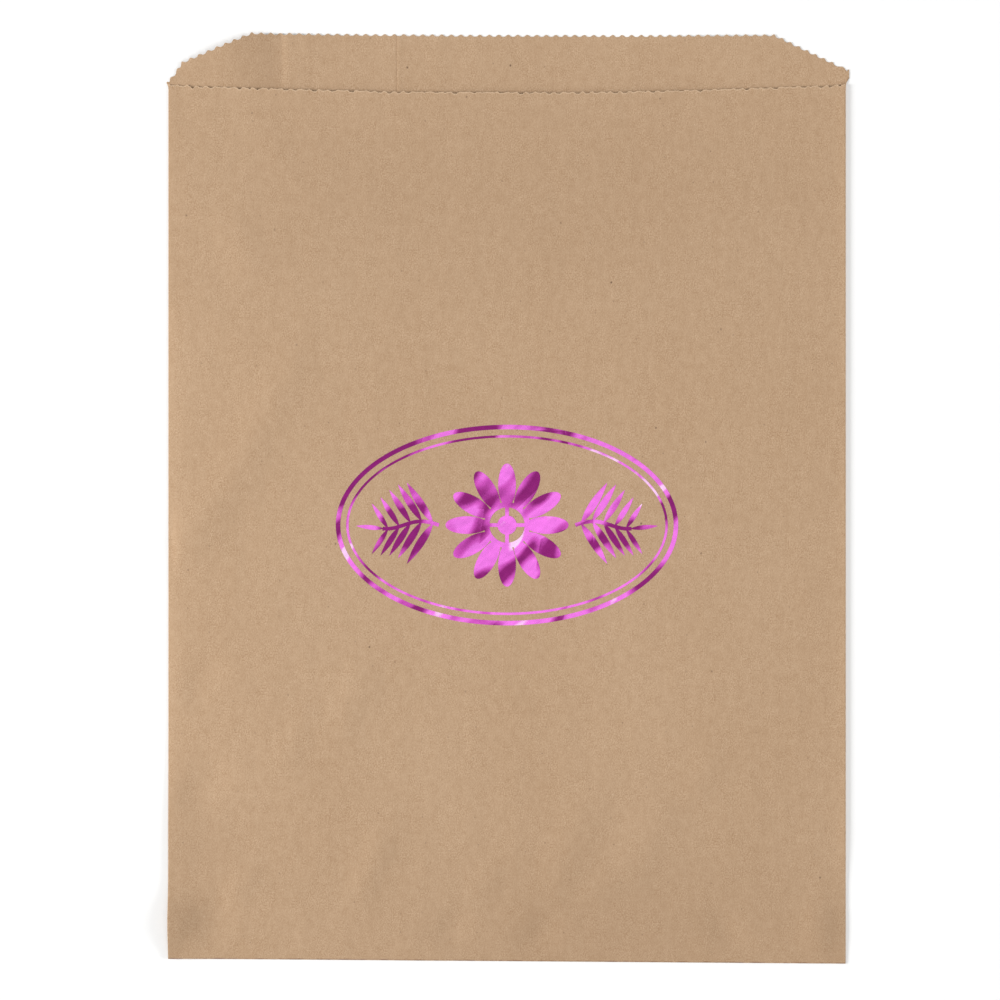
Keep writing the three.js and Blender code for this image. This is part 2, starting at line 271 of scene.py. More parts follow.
# A sum of sines, each along its own direction
def waved(x, y):
    height = np.zeros(np.broadcast(x, y).shape)
    for length, turn, phase, rise in waves:
        along = x * np.cos(np.radians(turn)) + y * np.sin(np.radians(turn))
        height = height + rise * np.sin(2 * np.pi * along / length + phase)
    return height


# A sum of bells, each at its own place: peak * exp(-(dx / half width)^2 - (dy / half height)^2)
def bells(x, y, places):
    return sum(peak * np.exp(-((x - placeX) / halfSpan) ** 2 - ((y - placeY) / halfHeight) ** 2)
               for placeX, placeY, halfSpan, halfHeight, peak in places)


# How much painted shade the paper gets: in the lip's valley, and a bell at each shaded place
def paintedShadeAt(x, y):
    valley = np.interp(x, *np.transpose(lipValleyShade)) * fade(y, frontLine(x) - 1, frontLine(x) + 1)
    return np.clip(valley + bells(x, y, paintedShadePlaces), 0, 1)


# Middle of the back panel's paper: half a sheet above what lies under it, and one sheet higher
# on the seam's upper side, whose cut edge lifts in a bell. Past the front edge the lip eases off
# the table, by its hump and by what its waves leave between nothing and the most.
def backHeight(x, y, upper):
    fromEdge = x - bag["seamX"] - bag["seamLiftPlace"]
    edgeLift = upper * bag["seamLift"] * np.exp(-(fromEdge / bag["seamLiftRun"]) ** 2)
    lip = fade(y - frontLength, *bag["lipFrom"])
    hump = np.interp(x, *np.transpose(lipHump)) * bag["lipLoft"]
    past = np.clip((y - frontLine(x)) / bag["lipRise"], 0, 1)
    hump = hump * (bag["lipHumpShare"] + (1 - bag["lipHumpShare"]) * past)
    rest = np.clip(bag["lipRest"] + bag["lipWave"] * waved(x, y), 0, bag["lipMost"])
    return paper * (0.5 + onLap(x, upper) + pliesUnder(x, y)) + edgeLift + lip * (rest + hump)


# Middle of the front panel's paper: its folded height, opened by the crease, plus the spring next
# to the side folds and the crown, which grow from the bottom fold and shrink towards the mouth,
# plus the right fold's ridge, the waves and the creases. It never sinks into what lies under it.
def frontHeight(x, y):
    inset = np.maximum(panelEnd - np.abs(x), 0)
    free = smooth(inset / bag["freeRun"])
    touching = 1 - smooth(y / bag["touchRun"])
    folded = 1.5 + overLap(x) * touching
    folded = folded + pliesUnder(x, y) * (1 - free) + pliesUnder(x, y, bag["stepSoftness"]) * free
    crease = 2 * bag["foldInside"] * np.clip(y / bag["pressedRun"], 0, 1)
    names = ("springLoft", "springRun", "shoulderRun")
    springLoft, springRun, shoulderRun = (np.where(x > 0, bag[name][1], bag[name][0]) for name in names)
    spring = springLoft * levelOff(inset / springRun) * fade(y, *bag["springRise"])
    crown = (bag["loft"] - springLoft) * levelOff(inset / shoulderRun)
    mouth = smooth((y - frontLength + bag["mouthRun"]) / bag["mouthRun"])
    opened = (spring + crown) * levelOff(y / bag["bellyRun"]) * (1 - (1 - bag["mouthShare"]) * mouth)
    relief = waved(x, y) * smooth(y / bag["waveRun"]) + creased(x, y)
    relief = relief * smooth(inset / bag["reliefRun"]) * smooth(y / bag["reliefRun"])
    ridge = bag["ridgeLoft"] * (x > 0) * np.exp(-inset / bag["ridgeRun"]) * fade(y, *bag["ridgeRise"])
    height = paper * folded + crease + opened + ridge + relief
    return np.maximum(height, paper * (1.5 + overLap(x) + pliesUnder(x, y)))


# The bottom fold runs out of square, and the panels take it up over the belly
def inPlace(points):
    points = np.array(points, float)
    share = np.clip(1 - points[..., 1] / bag["bellyRun"], 0, None)
    points[..., 1] -= bag["bottomSkew"] / 2 * points[..., 0] / halfWidth * share
    return (points + (middleX, bottomY, 0)) * mm


# A mesh object from points in millimetres and faces, smooth but for its open edges
def makePiece(name, points, faces, thickness, offset, material):
    mesh = bpy.data.meshes.new(name)
    mesh.from_pydata(inPlace(points).tolist(), [], faces)
    mesh.shade_smooth()
    edges = np.zeros(len(mesh.loops), np.int32)
    mesh.loops.foreach_get("edge_index", edges)
    sharp = np.bincount(edges, minlength=len(mesh.edges)) == 1
    mesh.attributes.new("sharp_edge", "BOOLEAN", "EDGE").data.foreach_set("value", sharp)
    mesh.materials.append(material)
    piece = bpy.data.objects.new(name, mesh)
    bpy.context.scene.collection.objects.link(piece)
    wall = piece.modifiers.new("thickness", "SOLIDIFY")
    wall.thickness = thickness * mm
    wall.offset = offset
    return piece


# A shader node with its settings, and its inputs set or linked
def addNode(tree, kind, inputs=None, **settings):
    node = tree.nodes.new(kind)
    for key, value in settings.items():
        setattr(node, key, value)
    for key, value in (inputs or {}).items():
        if isinstance(value, bpy.types.NodeSocket):
            tree.links.new(value, node.inputs[key])
        else:
            node.inputs[key].default_value = value
    return node


# The output of a sum, a product and so on
def calculate(tree, operation, first, second=0.0, third=0.0):
    inputs = {0: first, 1: second, 2: third}
    return addNode(tree, "ShaderNodeMath", inputs, operation=operation).outputs[0]


# From the first colour to the second as the factor goes from 0 to 1
def mixColour(tree, factor, first, second):
    inputs = {0: factor, 6: first, 7: second}
    return addNode(tree, "ShaderNodeMix", inputs, data_type="RGBA").outputs[2]


# From low to high as the noise goes from 0 to 1
def spread(tree, noise, low, high):
    return calculate(tree, "MULTIPLY_ADD", noise, high - low, low)


# From 0 to 1 as the value goes from low to high, with soft ends
def fadeBetween(tree, value, low, high):
    inputs = {"Value": value, "From Min": low, "From Max": high}
    return addNode(tree, "ShaderNodeMapRange", inputs, interpolation_type="SMOOTHSTEP").outputs[0]


# Noise whose grains are the given millimetres wide and long
def grain(tree, vector, wide, long, detail=2.0, seed=0.0, turn=0.0, kind="ShaderNodeTexNoise"):
    inputs = {"Vector": vector, "Rotation": (0, 0, np.radians(turn))}
    turned = addNode(tree, "ShaderNodeMapping", inputs).outputs[0]
    scale = (1 / (wide * mm), 1 / (long * mm), 1)
    inputs = {"Vector": turned, "Location": (seed, 2 * seed, 0), "Scale": scale}
    scaled = addNode(tree, "ShaderNodeMapping", inputs).outputs[0]
    if kind == "ShaderNodeTexVoronoi":
        return addNode(tree, kind, {"Vector": scaled, "Scale": 1.0}, voronoi_dimensions="2D")
    inputs = {"Vector": scaled, "Scale": 1.0, "Detail": detail, "Roughness": 0.55}
    return addNode(tree, kind, inputs, noise_dimensions="2D").outputs[0]


# A material with its node tree and its shader
def newMaterial(name):
    material = bpy.data.materials.new(name)
    material.use_nodes = True
    return material, material.node_tree, material.node_tree.nodes["Principled BSDF"]


# The shader's colour and roughness, and the bump that a height in metres gives
def linkShader(tree, shader, colour, rough, height):
    bump = addNode(tree, "ShaderNodeBump", {"Height": height, "Distance": 1.0, "Strength": 1.0})
    for socket, name in ((colour, "Base Color"), (rough, "Roughness"), (bump.outputs[0], "Normal")):
        tree.links.new(socket, shader.inputs[name])


kraft = {
    "dark": (0.376, 0.230, 0.125, 1),    # ends of the paper's own range of tone
    "light": (0.566, 0.397, 0.259, 1),
    "speck": (0.12, 0.07, 0.04, 1),
    "fleck": (0.72, 0.56, 0.40, 1),
    "hem": (0.20, 0.10, 0.055, 1),       # painted shadow line along the bottom fold
    "hemRun": (0.15, 0.75),              # it fades out between these distances from the fold
    "hemDepth": 0.8,
    "cut": (0.62, 0.45, 0.30, 1),        # bare fibres along the cuts
    "cutDepth": 0.75,
    "cutFray": (0.65, 1.25),             # how the fibres break up its inner edge
    "paintedShade": (0.20, 0.115, 0.06, 1),      # painted shade in dents, creases and towards the top and bottom
    "paintedShadeDepth": 0.16,
    "speckle": 0.65,                     # weights of the tones
    "hair": 0.38,
    "strand": 0.10,
    "cloud": 0.22,
    "patch": 0.10,
    "clear": (0.6, 1.4),                 # how strong the speckle is, from patch to patch
    "hairTurns": (24.0, -38.0),          # the fibres lie along these two directions, degrees
    "bump": 0.035,                       # height of the fibres, millimetres
    "cockle": 0.25,                      # height of the paper's soft cockling
    "roughness": (0.78, 0.94),
    "shine": 0.25,
}

# Grains of the paper: width and length in millimetres
kraftGrains = {
    "speckle": (0.42, 0.55),
    "hair": (0.34, 1.5),
    "strand": (0.6, 4.0),
    "cloud": (3.0, 4.0),
    "patch": (38.0, 60.0),
    "clear": (8.0, 10.0),
    "hemBreaks": (3.0, 0.5),
    "torn": (0.5, 0.9),
    "cockle": (9.0, 14.0),
}

# Dots in the paper: spacing, radius and how many places have one as shares, seed, colour, depth
kraftDots = (
    (9.0, 0.035, 0.5, 5.0, "speck", 0.45),
    (34.0, 0.013, 0.6, 8.0, "speck", 0.85),
    (17.0, 0.018, 0.35, 14.0, "fleck", 0.45),
)


# Kraft: a fine speckle of short fibres that lie every way, mostly up the bag, over soft clouds. It
# is stronger in some patches than in others. Each tone adds its weight times 2 * noise - 1.
def kraftMaterial():
    material, tree, shader = newMaterial("kraftPaper")
    sheet = addNode(tree, "ShaderNodeUVMap", uv_map="flatSheet").outputs[0]
    speckle = grain(tree, sheet, *kraftGrains["speckle"], 2.0, 3.0)
    hairs = [grain(tree, sheet, *kraftGrains["hair"], 1.0, 7.0 + turn, turn)
             for turn in kraft["hairTurns"]]
    hair = calculate(tree, "MULTIPLY", calculate(tree, "ADD", *hairs), 0.5)
    strand = grain(tree, sheet, *kraftGrains["strand"], 2.0, 11.0)
    cloud = grain(tree, sheet, *kraftGrains["cloud"], 3.0, 23.0)
    patch = grain(tree, sheet, *kraftGrains["patch"], 2.0, 31.0)
    clear = fadeBetween(tree, grain(tree, sheet, *kraftGrains["clear"], 2.0, 37.0), 0.35, 0.65)
    tone = spread(tree, speckle, -kraft["speckle"], kraft["speckle"])
    tone = calculate(tree, "MULTIPLY_ADD", tone, spread(tree, clear, *kraft["clear"]), 0.5)
    for noise, name in ((hair, "hair"), (strand, "strand"), (cloud, "cloud"), (patch, "patch")):
        tone = calculate(tree, "ADD", tone, spread(tree, noise, -kraft[name], kraft[name]))
    colour = mixColour(tree, tone, kraft["dark"], kraft["light"])

    for cell, radius, share, seed, name, depth in kraftDots:
        dots = grain(tree, sheet, cell, cell * 1.25, seed=seed, kind="ShaderNodeTexVoronoi")
        far = fadeBetween(tree, dots.outputs["Distance"], radius * 0.5, radius)
        parts = addNode(tree, "ShaderNodeSeparateColor", {0: dots.outputs["Color"]})
        chosen = calculate(tree, "LESS_THAN", parts.outputs[0], share)
        dot = calculate(tree, "MULTIPLY", calculate(tree, "SUBTRACT", 1.0, far), chosen)
        dot = calculate(tree, "MULTIPLY", dot, calculate(tree, "MULTIPLY", parts.outputs[1], depth))
        colour = mixColour(tree, dot, colour, kraft[name])

    # a painted shadow line along the bottom fold, broken up by noise
    upSheet = addNode(tree, "ShaderNodeSeparateXYZ", {0: sheet}).outputs[1]
    hemBreaks = grain(tree, sheet, *kraftGrains["hemBreaks"], 3.0, 41.0)
    fromHem = calculate(tree, "ABSOLUTE", upSheet)
    hemStart, hemEnd = kraft["hemRun"]
    hem = calculate(tree, "SUBTRACT", 1.0, fadeBetween(tree, fromHem, hemStart * mm, hemEnd * mm))
    hem = calculate(tree, "MULTIPLY", hem, fadeBetween(tree, hemBreaks, 0.35, 0.65))
    colour = mixColour(tree, calculate(tree, "MULTIPLY", hem, kraft["hemDepth"]), colour, kraft["hem"])
    # painted shade, from the point attribute that the bag's mesh carries
    paintedShade = addNode(tree, "ShaderNodeAttribute", attribute_name="paintedShade").outputs["Fac"]
    colour = mixColour(tree, calculate(tree, "MULTIPLY", paintedShade, kraft["paintedShadeDepth"]), colour, kraft["paintedShade"])
    cutEdge = addNode(tree, "ShaderNodeAttribute", attribute_name="cutEdge").outputs["Fac"]
    torn = grain(tree, sheet, *kraftGrains["torn"], 2.0, 61.0)
    bare = fadeBetween(tree, calculate(tree, "ADD", cutEdge, torn), *kraft["cutFray"])
    colour = mixColour(tree, calculate(tree, "MULTIPLY", bare, kraft["cutDepth"]), colour, kraft["cut"])

    cockle = grain(tree, sheet, *kraftGrains["cockle"], 1.0, 52.0)
    height = calculate(tree, "MULTIPLY", cockle, kraft["cockle"] * mm)
    height = calculate(tree, "MULTIPLY_ADD", speckle, kraft["bump"] * mm, height)
    height = calculate(tree, "MULTIPLY_ADD", hair, kraft["bump"] * mm, height)
    linkShader(tree, shader, colour, spread(tree, cloud, *kraft["roughness"]), height)
    shader.inputs["Specular IOR Level"].default_value = kraft["shine"]
    return material


cuts = {
    "phases": (0, 0.12, 0.24, 0.35, 0.5, 0.65, 0.76, 0.88),   # places of fine columns within a tooth
    "uneven": (0.3, 1.3),     # range of the depth of the front's teeth, which are worn
    "ragged": (0.09, 0.025),  # random depth of the cut, on the front and on the lip
    "notchSpan": 0.45,
    "curl": 0.24,             # the front's cut edge curls up by about this much
    "curlRun": 15,            # over this many fine columns
    "curlShare": 0.2,
    "fuzz": (0.6, 0.28),      # width of the bare fibres along the cut, on the front and on the lip
    "bare": (1.0, 0.4),       # and how bare they are
    "margin": 1.9,            # the fine rows reach this far in from a cut
}
finePhases = np.array(cuts["phases"])

# Where the mesh has its rows and columns
knots = {
    "apart": 0.9,                               # a column at a tooth keeps this far from the others
    "nearFold": (0.5, 1.2, 2.2, 5.2),           # columns at these distances from a crease
    "nearSeam": (0.45, 0.9, 1.8, 3.2),          # and from the seam's cut edge
    "lipCrease": (-84.8, -84.2, -83.4, -82.4),  # and along the lip's crease, in x
    "lowRows": (0.0, 0.6, 1.4, 2.4, 3.6, 5.0, 6.4, 8.0, 10.0, 12.4, 15.0, 18.0, 21.0, 24.0, 26.8, 29.6),
    "mouthRun": 12.0,                           # the last rows, over this length, follow the mouth
    "mouthShares": (0.2, 0.4, 0.57, 0.72, 0.86, 1.0),
    "mouthGap": 1.2,                            # and end this far from the fine ones
}


# Columns round the girth: up the back's right half, round the right crease, over the front, round
# the left crease and back to the outer cut edge. turn goes from 0 on the back to pi on the front,
# and upper is 1 on the back's right half, which lies on top at the seam.
def girthColumns():
    # a column at each set place, and at each tooth that keeps its distance from them
    def spaced(teeth, low, high, places):
        apart = knots["apart"]
        inner = teeth[(teeth > low + apart) & (teeth < high - apart)]
        inner = inner[np.abs(inner[:, None] - np.array(places)).min(axis=1) > apart]
        return np.unique(np.concatenate([inner, places, [low, high]]))

    nearFold = panelEnd - np.array(knots["nearFold"])
    seam = bag["seamX"] + np.array(knots["nearSeam"])
    onRight = [*seam, lapEnd, lapEnd + bag["seamRamp"], *nearFold[1:3]]
    rightHalf = spaced(lipTeeth, bag["seamX"], panelEnd, onRight)
    onLeft = [*(-nearFold[1:3]), *knots["lipCrease"], bag["seamX"]]
    leftHalf = spaced(lipTeeth, -panelEnd, lapEnd, onLeft)
    front = spaced(frontTeeth, -panelEnd, panelEnd, [*nearFold, *(-nearFold)])[::-1]
    arc = np.linspace(0, np.pi, 7)[1:-1]
    x = np.concatenate([rightHalf, 0 * arc + panelEnd, front, 0 * arc - panelEnd, leftHalf])
    turn = np.concatenate([0 * rightHalf, arc, 0 * front + np.pi, arc[::-1], 0 * leftHalf])
    upper = np.concatenate([0 * rightHalf + 1, 0 * arc + 1, 0 * front, 0 * arc, 0 * leftHalf])
    return np.array([x, turn, upper])


# Each coarse cell cut into eight at the phases of a tooth
def fineColumns(coarse):
    steps = np.diff(coarse, axis=1)[:, :, None] * finePhases
    return np.hstack([(coarse[:, :-1, None] + steps).reshape(3, -1), coarse[:, -1:]])


# How far the flat back panel next to an ear spreads with it, as a share of its reach
def earSpread(x):
    return bag["earSpread"] * smooth((np.abs(x) - panelEnd + bag["earRun"]) / bag["earRun"])


# Turns round a crease from the flat back to the side, where an ear's shape changes
earTurns = np.pi * np.array([0, 0.25, 0.375, 0.5])


# Points of the sheet for columns and heights up the bag. Across a crease the paper goes from the
# back's height to the front's in a half circle. Past the front edge the crease's back half opens
# out into the ear at that end of the lip.
def bodyPoints(columns, y):
    x, turn, upper = columns
    side = np.sign(x)
    overFold = bag["foldInside"] * np.clip(y / bag["pressedRun"], 0, 1) + paper / 2
    bulge = side * overFold * np.sin(turn)
    across = x / panelEnd * (foldEdge - overFold) + bulge
    low = backHeight(x, y, upper)
    z = low + (frontHeight(x, y) - low) * frontShare(turn)
    reach = np.where(side > 0, bag["earRight"], bag["earLeft"]) + paper / 2
    climb = np.where(side > 0, bag["earRightRise"], bag["earLeftRise"])
    roundFold = np.interp(turn, earTurns, (bag["earSpread"], 1, 1, 0))
    out = np.where(turn == 0, earSpread(x), roundFold)
    opening = np.clip((y - frontLength) / climb, 0, 1)
    across = across + side * reach * out * opening
    z = z + (low - z) * opening * (turn <= np.pi / 2)
    return np.stack(np.broadcast_arrays(across, y, z), axis=-1)


# The sheet's cut line at the mouth for each column, the depth of the knife's teeth there and the
# line's slope. The front's teeth are uneven, with a bell-shaped notch at each torn place.
def mouthLine(columns):
    x, turn, _ = columns
    side = np.sign(x)
    reach = np.where(side > 0, bag["earRight"], bag["earLeft"])
    back = turn == 0
    front = turn == np.pi
    lipX = x + side * reach * earSpread(x)
    leftCrest, rightCrest = bag["earCrest"]
    rightEar = (bag["earRightTop"] + rightCrest, bag["earRightTop"], bag["earRightRise"], 0)
    leftEar = (bag["earLeftRise"] + leftCrest, bag["earLeftRise"], bag["earLeftRise"], 0)
    crease = np.where(side > 0, np.interp(turn, earTurns, rightEar), np.interp(turn, earTurns, leftEar))
    line = np.where(back, lipLine(lipX), np.where(front, frontLine(x), frontLength + crease))
    torn = sum(depth * np.exp(-((x - place) / cuts["notchSpan"]) ** 2) for place, depth in notches)
    ragged = random.normal(0, 1, len(x))
    number = np.interp(x, frontTeeth, np.arange(len(frontTeeth))).astype(int)
    uneven = random.uniform(*cuts["uneven"], len(frontTeeth))[number]
    frontDip = bag["frontToothDepth"] * uneven * toothDip(x, frontTeeth) + torn
    frontDip = frontDip + cuts["ragged"][0] * ragged
    lipDip = bag["lipToothDepth"] * toothDip(x, lipTeeth) + cuts["ragged"][1] * ragged
    dip = np.where(back, lipDip, np.where(front, frontDip, 0))
    slope = np.where(back, lipLine(x + 0.5) - lipLine(x - 0.5), 0)
    return line, dip, slope


# Faces between two rows of points, each a range of numbers
def rowFaces(lower, upper):
    return np.stack([lower[:-1], upper[:-1], upper[1:], lower[1:]], axis=-1).reshape(-1, 4)


# The whole sheet as rows of points up its length: the turned-up plies, the turn round the bottom
# fold and the body, with coarse columns, and fine ones along the cuts at both ends. Wide faces join
# each coarse cell to its eight fine ones.
def paperBag(material):
    coarse = girthColumns()
    fine = fineColumns(coarse)
    margin = cuts["margin"]

    # each ply's radius, and the height of the line that the bottom fold turns them all about
    def hemParts(columns):
        x, turn, upper = columns
        onFront = frontShare(turn)
        level = (0.5 + onLap(x, upper)) * (1 - onFront) + (1.5 + overLap(x)) * onFront
        return paper * level, paper * (2 + overLap(x))

    # points of the hem for each column, across to the pressed side creases
    def hemPoints(columns, y, z):
        x, turn, _ = columns
        across = x / panelEnd * (foldEdge - paper / 2) + np.sign(x) * paper / 2 * np.sin(turn)
        return np.stack(np.broadcast_arrays(across, y, z), axis=-1)

    # length of the turned-up ply for each column, with the complement of the mouth's teeth
    def tabLine(columns):
        x, turn, _ = columns
        return innerPlyEnd(x) + (outerPlyEnd(x) - innerPlyEnd(x)) * frontShare(turn)

    radius, core = hemParts(coarse)
    tabShares = np.linspace(1, 0, 8)[:, None]
    tabRows = core + tabShares * (tabLine(coarse) - margin - core)
    tab = hemPoints(coarse, tabRows, core - radius)
    angles = np.linspace(0, np.pi, 8)[1:-1, None]
    wrap = hemPoints(coarse, core - radius * np.sin(angles), core - radius * np.cos(angles))

    low = np.array(knots["lowRows"])
    level = frontLength - knots["mouthRun"]
    rows = np.linspace(low[-1], level, int(round((level - low[-1]) / bag["rowPitch"])) + 1)[1:]
    bodyRows = np.concatenate([low, rows])[:, None] + 0 * core
    bodyRows[0] = core
    line, _, _ = mouthLine(coarse)
    mouthShares = np.array(knots["mouthShares"])[:, None]
    mouthRows = level + mouthShares * (line - margin - knots["mouthGap"] - level)
    body = bodyPoints(coarse, np.vstack([bodyRows, mouthRows]))
    grid = np.concatenate([tab, wrap, body])
    # the rows' own places along the flat sheet
    along = np.concatenate([-tabRows, -core * np.cos(angles) * 0.9, bodyRows, mouthRows])

    # the fine rows at the mouth: a straight one, one just inside the cut and the cut itself
    line, dip, slope = mouthLine(fine)
    steep = np.sqrt(1 + slope ** 2)
    inner = bodyPoints(fine, line - margin)
    cut = bodyPoints(fine, line - dip / steep)
    cut[:, 0] += dip * slope / steep
    bell = np.hanning(cuts["curlRun"]) * cuts["curlShare"]
    curl = np.convolve(random.normal(0, 1, len(line)), bell, mode="same")
    cut[:, 2] += cuts["curl"] * np.abs(curl) * (fine[1] == np.pi)
    depth = np.maximum(inner[:, 1] - cut[:, 1], -margin)
    fuzz = np.where(fine[1] == np.pi, *cuts["fuzz"])
    nearCut = cut + (inner - cut) * np.clip(fuzz / np.abs(depth), 0, 0.9)[:, None]

    # and at the turned-up plies' ends
    fineRadius, fineCore = hemParts(fine)
    tabEnds = tabLine(fine)
    tabDip = bag["frontToothDepth"] * (toothDip(fine[0], frontTeeth) - 1) * frontShare(fine[1])
    tabInner = hemPoints(fine, tabEnds - margin / 2, fineCore - fineRadius)
    tabCut = hemPoints(fine, tabEnds + tabDip, fineCore - fineRadius)

    count = coarse.shape[1]
    fineCount = fine.shape[1]
    points = np.concatenate([grid.reshape(-1, 3), inner, nearCut, cut, tabInner, tabCut])
    points[:, 2] += bells(points[:, 0], points[:, 1], curls)
    numbers = np.arange(len(grid) * count).reshape(-1, count)
    first = numbers.size
    strips = first + np.arange(5 * fineCount).reshape(5, fineCount)
    faces = [rowFaces(lower, upper) for lower, upper in zip(numbers[:-1], numbers[1:])]
    faces += [rowFaces(strips[lower], strips[upper]) for lower, upper in ((0, 1), (1, 2), (4, 3))]
    faces = np.concatenate(faces).tolist()
    cells = np.arange(count - 1)[:, None] * len(finePhases) + np.arange(len(finePhases) + 1)
    top = np.hstack([numbers[-1, :-1, None], strips[0][cells], numbers[-1, 1:, None]])
    bottom = np.hstack([numbers[0, :-1, None], numbers[0, 1:, None], strips[3][cells[:, ::-1]]])
    piece = makePiece("paperBag", points, faces + top.tolist() + bottom.tolist(), paper, 0.0, material)

    # the flat sheet's own coordinates: round the girth, and up from the bottom fold
    def girth(columns):
        across, turned, _ = np.abs(np.diff(columns))
        return np.concatenate([[0], np.cumsum(across + (paper / 2 + bag["foldInside"]) * turned)])

    wide = np.concatenate([np.tile(girth(coarse), len(grid)), np.tile(girth(fine), 5)])
    long = np.concatenate([along.ravel(), inner[:, 1], nearCut[:, 1], cut[:, 1],
                           -tabInner[:, 1], -tabCut[:, 1]])
    corners = np.zeros(len(piece.data.loops), np.int32)
    piece.data.loops.foreach_get("vertex_index", corners)
    flat = piece.data.uv_layers.new(name="flatSheet")
    flat.data.foreach_set("uv", (np.stack([wide, long], axis=1)[corners] * mm).ravel())
    onCut = np.zeros(len(points))
    onCut[strips[2]] = np.where(fine[1] == np.pi, *cuts["bare"])
    onCut[strips[4]] = cuts["bare"][1]
    piece.data.attributes.new("cutEdge", "FLOAT", "POINT").data.foreach_set("value", onCut)
    # painted shade for each point, none at the turned-up plies' ends
    shade = paintedShadeAt(points[:, 0], points[:, 1])
    shade[strips[3:]] = 0
    piece.data.attributes.new("paintedShade", "FLOAT", "POINT").data.foreach_set("value", shade)
    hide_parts("paper_bag")
    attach(piece, "root")
    return piece


foil = {
    "thickness": 0.03,
    "gap": 0.01,              # between the paper's face and the lowest layer
    "stagger": 0.008,         # each layer of overlapping shapes lies this much above the last
    "ovalStroke": 1.7,
    "innerOvalStroke": 0.9,
    "petals": 12,
    "petalLength": 16.0,
    "petalWidth": 6.6,
    "petalRadius": 15.0,
    "eyeOuter": 8.6,
    "eyeInner": 6.6,
    "budRadius": 3.6,
    "stemStart": 25.5,
    "stemEnd": 46.5,
    "stemSwing": 1.4,         # to each side, and how many times it goes there and back
    "stemSwings": 0.8,
    "stemWidth": 1.4,
    "leafPairs": 5,
    "leafLength": 19.0,
    "leafWidth": 3.1,
    "leafSplay": 57.0,
    "leafTaper": 0.45,        # how much smaller the last leaf is
    "leafPull": 0.4,          # a leaf's control point, as a share of its length
}

foilLow, foilHigh = (np.array(corner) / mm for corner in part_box("foil_oval_outer"))
foilMiddle = (foilLow + foilHigh)[:2] / 2 - (middleX, bottomY)


# A shape with a centre line and a half width: line(t) + s * halfWidth(t) * the line's own normal
def blade(line, halfSpan, steps=5):
    ahead = np.gradient(line, axis=0)
    ahead = ahead / np.linalg.norm(ahead, axis=1, keepdims=True)
    normal = np.stack([-ahead[:, 1], ahead[:, 0]], axis=1)
    aside = np.linspace(-1, 1, steps)[None, :, None] * halfSpan[:, None, None]
    return line[:, None, :] + aside * normal[:, None, :]


# A closed band between two ellipses with one middle
def band(halfLong, halfHigh, stroke, steps=240):
    turn = np.linspace(0, 2 * np.pi, steps + 1)[:, None]
    inset = np.linspace(stroke, 0, 4)[None, :]
    grid = np.stack([(halfLong - inset) * np.cos(turn), (halfHigh - inset) * np.sin(turn)], axis=-1)
    return grid[:, ::-1]


# An ellipse along a straight line, closest set at its two ends: halfWide * sqrt(1 - s^2)
def ellipseBlade(middle, halfLong, halfWide, turn, steps=22):
    share = np.cos(np.linspace(np.pi, 0, steps))
    along = np.array([np.cos(turn), np.sin(turn)])
    line = np.array(middle) + halfLong * share[:, None] * along
    return blade(line, halfWide * np.sqrt(np.clip(1 - share ** 2, 0, 1)), 7)


# A pointed leaf: a quadratic curve along its length, with a half width of width * 2t(1 - t)
def leafBlade(foot, turn, size):
    t = np.linspace(0, 1, 14)
    pull = 2 * (1 - t) * t
    along = foil["leafLength"] * size * (foil["leafPull"] * pull + t ** 2)
    line = np.array(foot) + along[:, None] * np.array([np.cos(turn), np.sin(turn)])
    return blade(line, np.maximum(foil["leafWidth"] * size * pull, 0), 5)


# Shapes laid on the front panel, each with its layer and a grid in plan, as one thin piece
def foilPiece(name, node, shapes, material):
    points = []
    faces = []
    start = 0
    for layer, shape in shapes:
        plan = shape + foilMiddle
        lift = paper / 2 + foil["gap"] + layer * foil["stagger"]
        height = frontHeight(plan[..., 0], plan[..., 1]) + lift
        points.append(np.dstack([plan, height]).reshape(-1, 3))
        numbers = start + np.arange(shape.shape[0] * shape.shape[1]).reshape(shape.shape[:2])
        faces.append(np.stack([numbers[:-1, :-1], numbers[1:, :-1], numbers[1:, 1:], numbers[:-1, 1:]],
                              axis=-1).reshape(-1, 4))
        start += numbers.size
    points = np.concatenate(points)
    piece = makePiece(name, points, np.concatenate(faces).tolist(), foil["thickness"], 1.0, material)
    clean = bmesh.new()
    clean.from_mesh(piece.data)
    bmesh.ops.remove_doubles(clean, verts=clean.verts, dist=0.002 * mm)
    bmesh.ops.recalc_face_normals(clean, faces=clean.faces)
    clean.to_mesh(piece.data)
    clean.free()
    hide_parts(node)
    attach(piece, "root")
    return piece


# A stem that swings from side to side, with pairs of leaves that grow smaller and one at its end
def sprigShapes(hand):
    def stemAt(share):
        along = foil["stemStart"] + share * (foil["stemEnd"] - foil["stemStart"])
        swing = foil["stemSwing"] * np.sin(share * 2 * np.pi * foil["stemSwings"])
        return np.stack([hand * along, swing], axis=-1)

    def heading(share):
        ahead = stemAt(share + 0.01) - stemAt(share - 0.01)
        return np.arctan2(ahead[1], ahead[0])

    outward = 0 if hand > 0 else np.pi
    share = np.linspace(0, 1, 40)
    shapes = [(3, blade(stemAt(share), 0 * share + foil["stemWidth"] / 2))]
    for pair in range(foil["leafPairs"]):
        place = (pair + 0.5) / foil["leafPairs"]
        for lean in (-1, 1):
            turn = outward + lean * np.radians(foil["leafSplay"])
            leaf = leafBlade(stemAt(place), turn, 1 - foil["leafTaper"] * place)
            shapes.append((pair % 2, leaf))
    shapes.append((2, leafBlade(stemAt(0.98), heading(1.0), 1 - foil["leafTaper"])))
    return shapes


